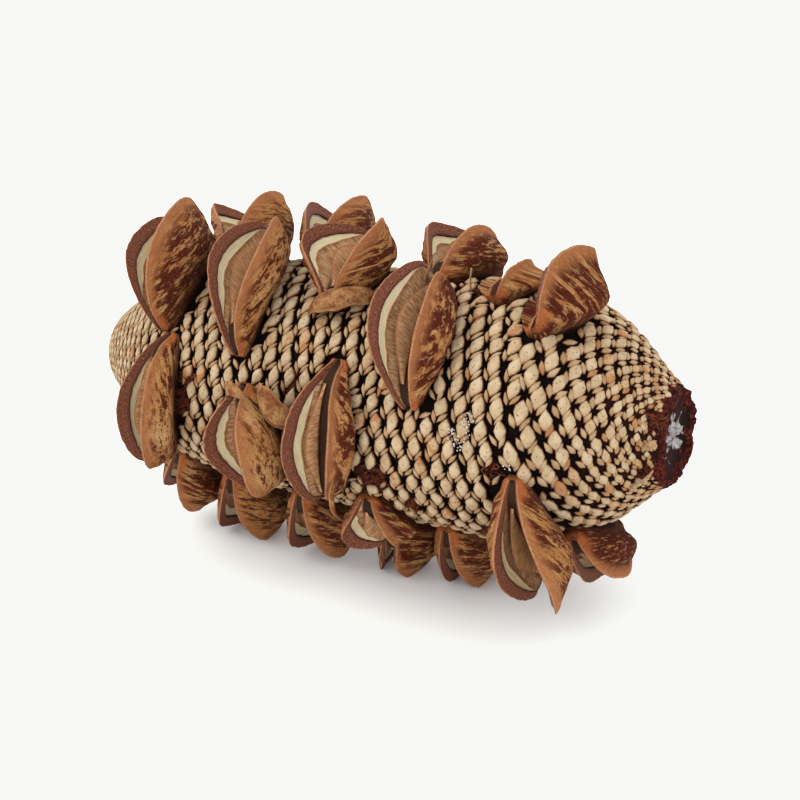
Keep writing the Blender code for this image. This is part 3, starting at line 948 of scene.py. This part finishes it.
tan_coat = valve.ramp(
    valve.maths("MULTIPLY_ADD", speckle, 0.6, valve.maths("MULTIPLY", broad, 0.5)),
    [(0.36, srgb(146, 84, 42)), (0.52, srgb(188, 126, 70)), (0.68, srgb(222, 174, 116))],
)
red_coat = valve.ramp(
    speckle, [(0.3, srgb(40, 8, 4)), (0.5, srgb(86, 31, 16)), (0.7, srgb(138, 68, 40))]
)
streak_edge = valve.maths("MULTIPLY_ADD", speckle, 0.34, streak)
streak_edge = valve.maths("ADD", streak_edge, valve.attribute("tone").outputs["Fac"])
coat = valve.mix(valve.span(streak_edge, 0.635, 0.69), tan_coat, red_coat)
fleck = valve.noise(valve.stretch(grain, (0.6, 1.9, 1.0)), 1.0, 3.0, 0.6, 0.4)
fleck = valve.maths("MULTIPLY_ADD", velvet, 0.25, fleck)
coat = valve.mix(valve.span(fleck, 0.67, 0.72, 0.0, 0.8), coat, srgb(84, 34, 20))
coat = valve.mix(valve.span(fleck, 0.5, 0.56, 0.6, 0.0), coat, srgb(206, 164, 108))
coat = valve.mix(valve.span(zone, 0.2, 0.55, 0.75, 0.0), coat, srgb(92, 46, 30))
# Painted shade: near black at the foot, where the valve meets the core and the bract ends.
coat = valve.mix(valve.span(zone, 0.12, 0.26, 1.0, 0.0), coat, srgb(26, 11, 9))
coat = valve.mix(valve.span(zone, 0.8, 0.97, 0.0, 0.8), coat, srgb(198, 128, 80))
blunt_end = valve.span(share_along, 0.03, 0.12, 1.0, 0.0)
blunt_end = valve.maths("MULTIPLY", blunt_end, valve.span(zone, 0.5, 0.8))
coat = valve.mix(blunt_end, coat, srgb(190, 106, 58))
coat = valve.mix(valve.span(velvet, 0.3, 0.62, 0.4, 0.0), coat, srgb(66, 34, 22))

edge = valve.mix(valve.span(fibre, 0.35, 0.65), srgb(206, 150, 108), srgb(184, 116, 74))
band = valve.ramp(
    speckle, [(0.36, srgb(96, 48, 34)), (0.5, srgb(138, 82, 60)), (0.68, srgb(190, 130, 98))]
)
# Painted shadow: the band's inner half darkens toward the step below it.
band = valve.mix(valve.span(zone, 2.5, 3.0, 0.0, 0.55), band, srgb(92, 52, 42))
# The cream band and the seed chamber carry their own colours, painted lighter than the wood is, as
# painted light that lifts the shade inside the open valves.
cream_stripe = valve.noise(valve.stretch(grain, (0.35, 5.0, 1.0)), 1.0, 3.0)
cream = valve.mix(valve.span(cream_stripe, 0.35, 0.65), srgb(255, 240, 194), srgb(244, 216, 164))
radial = valve.noise(valve.stretch(grain, (3.2, 0.5, 1.0)), 1.0, 3.0, 0.6)
chamber = valve.mix(valve.span(radial, 0.42, 0.58), srgb(226, 178, 130), srgb(178, 124, 82))
chamber = valve.mix(valve.span(speckle, 0.56, 0.68, 0.0, 0.75), chamber, srgb(84, 50, 32))
# Painted shade: the seed chamber darkens to near black toward the gap's floor, deep between the valves.
chamber_with_painted_shade = valve.mix(valve.span(zone, 6.55, 7.0, 0.0, 0.9), chamber, srgb(40, 22, 16))

inside = valve.mix(valve.span(zone, 1.55, 1.95), edge, band)
# Painted shadow: a dark line in the step between the purple-brown band and the cream band.
inside = valve.mix(valve.span(zone, 2.85, 3.3), inside, srgb(62, 32, 24))
inside = valve.mix(valve.span(zone, 3.45, 3.75), inside, cream)
inside = valve.mix(valve.span(zone, 5.0, 5.3), inside, srgb(206, 140, 84))
inside = valve.mix(valve.span(zone, 5.75, 6.05), inside, chamber_with_painted_shade)
valve_colour = valve.mix(valve.span(zone, 0.97, 1.12), coat, inside)
valve_bump = valve.maths("MULTIPLY_ADD", streak_edge, 1.0, velvet)
valve_material = valve.finish(
    valve_colour, valve.span(zone, 0.9, 1.5, 0.9, 0.62), valve_bump, 0.0003
)

for follicle in follicles:
    points, faces, attributes = valve_mesh(follicle)
    piece = new_piece(f"{follicle.name}_valves", points, faces, valve_material, attributes)
    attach(piece, "root")
    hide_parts(follicle.name)


# Separators.
# Between the valves of an open follicle stands the thin woody plate that kept the two winged
# seeds apart. It grew free of the walls and is finely striped across, with orange-brown edges.

PLATE_THICKNESS = 0.9
PLATE_CLEARANCE = 0.4
PLATE_TOP = 0.68
PLATE_LEAN = 0.6
PLATE_START = 0.17
PLATE_END = 0.9
PLATE_STATIONS = 44
PLATE_STEPS = 12
WITHOUT_PLATE = (5, 13)


def plate_mesh(follicle):
    """The plate as a closed thin body with its surface coordinates."""
    points = []
    fields = {"zone": [], "grain": []}
    for index in range(PLATE_STATIONS):
        along = index / (PLATE_STATIONS - 1)
        share = PLATE_START + (PLATE_END - PLATE_START) * along
        rim = follicle.heights[0] * follicle.profile(share)
        floor, gap = follicle.gap_at(share)
        bottom = floor + PLATE_CLEARANCE
        swell = max(math.sin(math.pi * along), 0.004) ** 0.6
        top = bottom + (rim * PLATE_TOP - bottom) * swell
        top += wave(follicle.number + 80, share, 9.0) * 0.3
        lean = math.tan(math.radians(follicle.leans[0])) * follicle.opened(share) * PLATE_LEAN
        front = []
        back = []
        for step in range(PLATE_STEPS):
            part = step / (PLATE_STEPS - 1)
            out = bottom + (top - bottom) * part
            across = -gap + PLATE_CLEARANCE - (out - bottom) * lean
            front.append((across, out, part))
            back.append((across + PLATE_THICKNESS * (0.7 - 0.4 * part**3), out, part))
        edge = ((front[-1][0] + back[-1][0]) / 2, top + 0.12, 1.08)
        for across, out, part in front + [edge] + back[::-1]:
            points.append(follicle.place(share, across, out))
            fields["zone"].append(part)
            fields["grain"].append((share * follicle.length, out, follicle.number * 5.0))
    around = 2 * PLATE_STEPS + 1
    faces = tube_faces(PLATE_STATIONS, around) + end_faces(PLATE_STATIONS, around)
    return points, faces, fields


plate = Nodes("separator_wood")
plate_grain = plate.attribute("grain").outputs["Vector"]
plate_zone = plate.attribute("zone").outputs["Fac"]
plate_stripe = plate.noise(plate.stretch(plate_grain, (3.4, 0.45, 1.0)), 1.0, 3.0, 0.6, 0.3)
plate_dots = plate.noise(plate.stretch(plate_grain, (2.6, 2.2, 1.0)), 1.0, 3.0, 0.7)
plate_colour = plate.mix(plate.span(plate_stripe, 0.38, 0.62), srgb(226, 178, 130), srgb(178, 124, 82))
plate_colour = plate.mix(plate.span(plate_dots, 0.55, 0.72, 0.0, 0.7), plate_colour, srgb(112, 74, 48))
plate_colour = plate.mix(plate.span(plate_zone, 0.95, 0.99), plate_colour, srgb(172, 112, 72))
# Painted shade: the plate darkens toward its foot, low in the gap between the valves.
plate_colour = plate.mix(plate.span(plate_zone, 0.0, 0.3, 0.8, 0.0), plate_colour, srgb(60, 36, 24))
plate_material = plate.finish(plate_colour, 0.7, plate_stripe, 0.00015)

for follicle in follicles:
    if follicle.number in WITHOUT_PLATE:
        continue
    points, faces, attributes = plate_mesh(follicle)
    name = f"separator_{follicle.number:02d}"
    piece = new_piece(f"{name}_plate", points, faces, plate_material, attributes)
    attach(piece, "root")
    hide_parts(name)


# Torn flakes.
# Pieces of pod wood that broke as follicles opened: a lip under one follicle, a flap beside
# another, shards at the beaks of two more, and curls of bract wood beside the stalk.

# Each flake: its width, how far it stands on edge, and a line through its middle as station,
# angle and height over the core.
FLAKES = {
    "torn_lip": (
        6.4, 0.0, (-12.0, 55, 1.2), (-9.5, 56, 3.6), (-5.5, 58, 4.2), (-1.5, 62, 3.6), (0.5, 65, 1.4)
    ),
    "torn_flap": (7.5, 0.2, (-18.0, 14, 3.5), (-15.0, 12, 6.0), (-11.5, 8, 5.6), (-8.0, 1, 2.6)),
    "beak_shard": (3.6, 0.5, (14.0, 64, 4.0), (13.8, 67, 7.5), (14.2, 69, 9.6), (15.0, 70, 11.2)),
    "beak_sliver": (2.2, 0.6, (16.0, 62, 3.0), (16.4, 64, 5.5), (17.2, 66, 7.5), (18.4, 67, 8.6)),
    "open_end_left": (3.4, 0.4, (-25.0, 10, 4.0), (-24.0, 14, 6.5), (-21.5, 15, 8.0), (-18.5, 13, 7.6)),
    "beak_blade": (3.0, 0.8, (0.5, -14, 4.0), (0.8, -19, 8.0), (1.6, -24, 10.0), (2.2, -30, 9.0)),
    "stick": (0.5, 1.0, (18.8, 82, 0.5), (19.0, 82, 3.0), (19.4, 82, 5.5)),
    "stub_curl": (1.2, 0.0, (57.0, -31, 0.8), (59.0, -24, 2.2), (60.5, -18, 2.4), (61.2, -14, 1.4)),
    "stub_chip": (1.8, 0.0, (59.0, 8, 0.4), (60.6, 12, 1.6), (61.6, 15, 1.2)),
}
PALE_FLAKES = ("stick", "stub_curl", "stub_chip")
FLAKE_STEPS = 26
FLAKE_ACROSS = 8


def flake_mesh(width, stand, spine, seed):
    """A curved shell along a spine of stations, angles and heights, thin at its edges."""
    points = []
    edges = []
    knots = [index / (len(spine) - 1) for index in range(len(spine))]
    lines = [list(zip(knots, values)) for values in zip(*spine)]
    thick = 0.32 if width > 2 else 0.2
    rows = [(index, 1.0) for index in range(FLAKE_ACROSS)]
    rows += [(index, -1.0) for index in reversed(range(FLAKE_ACROSS))]
    for step in range(FLAKE_STEPS):
        part = step / (FLAKE_STEPS - 1)
        station, angle, out = (smooth_through(line, part) for line in lines)
        radius = core_radius(station) + out
        spread = width / 2 * math.sin(math.pi * (0.06 + 0.88 * part)) ** 0.5
        spread *= 1 + 0.22 * noise.noise(Vector((part * 6.0, seed, 0.0)))
        for index, side in rows:
            at = -1 + 2 * index / (FLAKE_ACROSS - 1)
            cup = 0.35 * spread * (1 - at * at) + side * thick * (1 - 0.7 * at * at)
            cup += 0.12 * noise.noise(Vector((part * 9.0, at * 2.0, seed)))
            over = at * spread
            around = angle + math.degrees(over * (1 - stand) / radius)
            place = lie(station + cup * stand, around, radius + cup * (1 - stand) + over * stand * 0.5)
            points.append(place + lie_direction(0.0, angle, 0.0, 1.0) * over * stand * 0.7 * MM)
            edges.append(abs(at))
    faces = tube_faces(FLAKE_STEPS, 2 * FLAKE_ACROSS) + end_faces(FLAKE_STEPS, 2 * FLAKE_ACROSS)
    return points, faces, {"edge": edges}


def flake_finish(name, pale, dark):
    """Broken wood with fibres showing and paler edges."""
    wood = Nodes(name)
    place = wood.place()
    fine = wood.noise(place, 1500.0, 4.0, 0.65)
    coarse = wood.noise(place, 300.0, 3.0)
    colour = wood.mix(wood.span(coarse, 0.38, 0.62), pale, dark)
    colour = wood.mix(wood.span(fine, 0.3, 0.65, 0.6, 0.0), colour, srgb(62, 30, 18))
    edge = wood.attribute("edge").outputs["Fac"]
    colour = wood.mix(wood.span(edge, 0.8, 1.0, 0.0, 0.6), colour, pale)
    return wood.finish(colour, 0.85, fine, 0.0003)


pod_flake = flake_finish("torn_pod_wood", srgb(196, 144, 92), srgb(146, 88, 54))
pale_flake = flake_finish("torn_bract_wood", srgb(222, 194, 146), srgb(198, 158, 108))
for seed, (name, (width, stand, *spine)) in enumerate(FLAKES.items()):
    points, faces, attributes = flake_mesh(width, stand, spine, seed * 3.7)
    material = pale_flake if name in PALE_FLAKES else pod_flake
    piece = new_piece(name, points, faces, material, attributes)
    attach(piece, "root")
    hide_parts("core")


# Frayed fibres and crust.
# Mats of red-brown fibres stand where bracts have torn out and at the feet of some follicles,
# and a few grains of whitish crust stick to the bracts in the middle.

# Each patch of crust: station, angle, reach and how many grains lie there.
CRUST_PATCHES = ((27.0, 9.0, 2.6, 44), (28.5, 17.0, 1.6, 22), (37.0, -1.0, 0.8, 8))
LOOSE_VARIANTS = 4
LOOSE_SEED = 19

loose_draws = random.Random(LOOSE_SEED)


def fibre_shape(name, curl):
    """A bent fibre one unit long, three-sided and thinner to its end."""
    points = []
    rings = 7
    for ring in range(rings):
        part = ring / (rings - 1)
        thick = 0.035 * (1.15 - part)
        for index in range(3):
            turn = 2 * math.pi * index / 3
            across = curl * math.sin(part * 3.0) + thick * math.cos(turn)
            points.append((across, thick * math.sin(turn) + curl * part**2, part))
    faces = tube_faces(rings, 3)
    faces += [(2, 1, 0), (rings * 3 - 3, rings * 3 - 2, rings * 3 - 1)]
    return loose_shape(name, points, faces, {}, smooth=False)


def grain_shape(name):
    """An uneven grain about one unit across."""
    points = []
    for index in range(6):
        turn = math.pi * index / 3
        reach = loose_draws.uniform(0.35, 0.6)
        points.append((reach * math.cos(turn), reach * math.sin(turn), loose_draws.uniform(-0.2, 0.2)))
    points += [(0, 0, 0.6), (0, 0, -0.4)]
    faces = fan_faces(0, 6, 6) + fan_faces(0, 6, 7, turned=True)
    return loose_shape(name, points, faces, {}, smooth=False)


def patch_points(patches, rise, tilt, smallest, largest):
    """Points spread over patches of the core, with a turn and a size for each."""
    group = {"points": [], "turn": [], "size": [], "variant": []}
    for station, angle, reach, count in patches:
        for _ in range(count):
            away = reach * math.sqrt(loose_draws.random())
            turn = loose_draws.uniform(0, 2 * math.pi)
            at = station + away * math.cos(turn)
            around = angle + math.degrees(away * math.sin(turn) / core_radius(station))
            group["points"].append(lie(at, around, core_radius(at) + rise))
            lean = math.radians(loose_draws.uniform(-tilt, tilt))
            group["turn"].append(tuple(bract_frame(at, around, turn + lean)))
            size = loose_draws.uniform(smallest, largest)
            group["size"].append((size, size, size * loose_draws.uniform(0.4, 1.0)))
            group["variant"].append(loose_draws.randrange(LOOSE_VARIANTS))
    return group


fibre = Nodes("frayed_fibre")
fibre_tint = fibre.noise(fibre.place(), 900.0, 3.0)
fibre_colour = fibre.ramp(
    fibre_tint, [(0.35, srgb(58, 22, 18)), (0.5, srgb(112, 52, 34)), (0.68, srgb(178, 108, 74))]
)
fibre_material = fibre.finish(fibre_colour, 0.85)
fibre_shapes = [
    fibre_shape(f"fibre_shape_{index}", 0.25 + 0.25 * index) for index in range(LOOSE_VARIANTS)
]
crust = Nodes("crust")
crust_tint = crust.noise(crust.place(), 1800.0, 3.0)
crust_colour = crust.mix(
    crust.span(crust_tint, 0.35, 0.65), srgb(196, 184, 168), srgb(246, 242, 234)
)
crust_material = crust.finish(crust_colour, 0.9, crust_tint)
crust_shapes = [grain_shape(f"grain_shape_{index}") for index in range(LOOSE_VARIANTS)]
for name, patches, rise, tilt, sizes, shapes, material in (
    ("frayed_fibres", FIBRE_PATCHES, -0.3, 180.0, (1.0, 2.4), fibre_shapes, fibre_material),
    ("crust_grains", CRUST_PATCHES, 0.85, 40.0, (0.2, 0.5), crust_shapes, crust_material),
):
    group = patch_points(patches, rise, tilt, *sizes)
    piece = scatter(name, group, shapes, (MM, MM, MM), material)
    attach(piece, "root")
    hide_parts("core")


# Broken stalk.
# The cone was snapped off its branch: a ragged ring of red-brown bark fibres stands round a
# crumbled whitish pith.

# Rings from the outside of the bark to the middle of the pith: station, radius and zone.
STUB_PROFILE = (
    (58.6, 11.0, 0.0), (60.0, 10.4, 0.1), (61.2, 9.9, 0.2), (62.2, 9.4, 0.35), (62.0, 8.6, 0.5),
    (61.2, 7.6, 0.62), (60.6, 6.4, 0.72), (60.4, 5.0, 0.84), (60.8, 3.4, 0.94), (61.0, 1.7, 1.0),
)
STUB_AROUND = 120
STUB_TOP = 62.6
STUB_SEED = 7

stub_draws = random.Random(STUB_SEED)
stub_points = []
stub_zones = []
for ring, (station, radius, zone_value) in enumerate(STUB_PROFILE):
    loose = min(zone_value * 4, 1.0)
    for index in range(STUB_AROUND):
        angle = 360.0 * index / STUB_AROUND
        turn = math.radians(angle)
        ragged = Vector((math.cos(turn) * 2.6, math.sin(turn) * 2.6, ring * 0.7))
        along = station + noise.noise(ragged) * 1.7 * loose + stub_draws.uniform(-0.3, 0.3) * loose
        out = radius + noise.noise(ragged + Vector((9, 4, 2))) * 1.1 * min(zone_value * 5, 1.0)
        stub_points.append(lie(min(along, STUB_TOP), angle, out))
        stub_zones.append(zone_value)
stub_points += [lie(STUB_PROFILE[-1][0], 0, 0), lie(STUB_PROFILE[0][0] + 1.0, 0, 0)]
stub_zones += [1.0, 0.0]
stub_faces = tube_faces(len(STUB_PROFILE), STUB_AROUND)
stub_faces += fan_faces((len(STUB_PROFILE) - 1) * STUB_AROUND, STUB_AROUND, len(stub_points) - 2)
stub_faces += fan_faces(0, STUB_AROUND, len(stub_points) - 1, turned=True)
stub = Nodes("stalk_break")
stub_place = stub.place()
stub_zone = stub.attribute("zone").outputs["Fac"]
stub_fine = stub.noise(stub_place, 1300.0, 5.0, 0.7)
stub_coarse = stub.noise(stub_place, 260.0, 3.0)
stub_bark = stub.ramp(
    stub_fine, [(0.36, srgb(34, 9, 10)), (0.52, srgb(78, 24, 20)), (0.68, srgb(146, 66, 44))]
)
stub_pith = stub.mix(stub.span(stub_fine, 0.3, 0.65), srgb(150, 132, 122), srgb(240, 236, 232))
stub_edge = stub.maths("MULTIPLY_ADD", stub_coarse, 0.9, stub_zone)
stub_colour = stub.mix(stub.span(stub_edge, 1.28, 1.36), stub_bark, stub_pith)
stub_material = stub.finish(stub_colour, 0.85, stub_fine, 0.0006)
stub_piece = new_piece("stalk_break", stub_points, stub_faces, stub_material, {"zone": stub_zones})
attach(stub_piece, "root")
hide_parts("core")
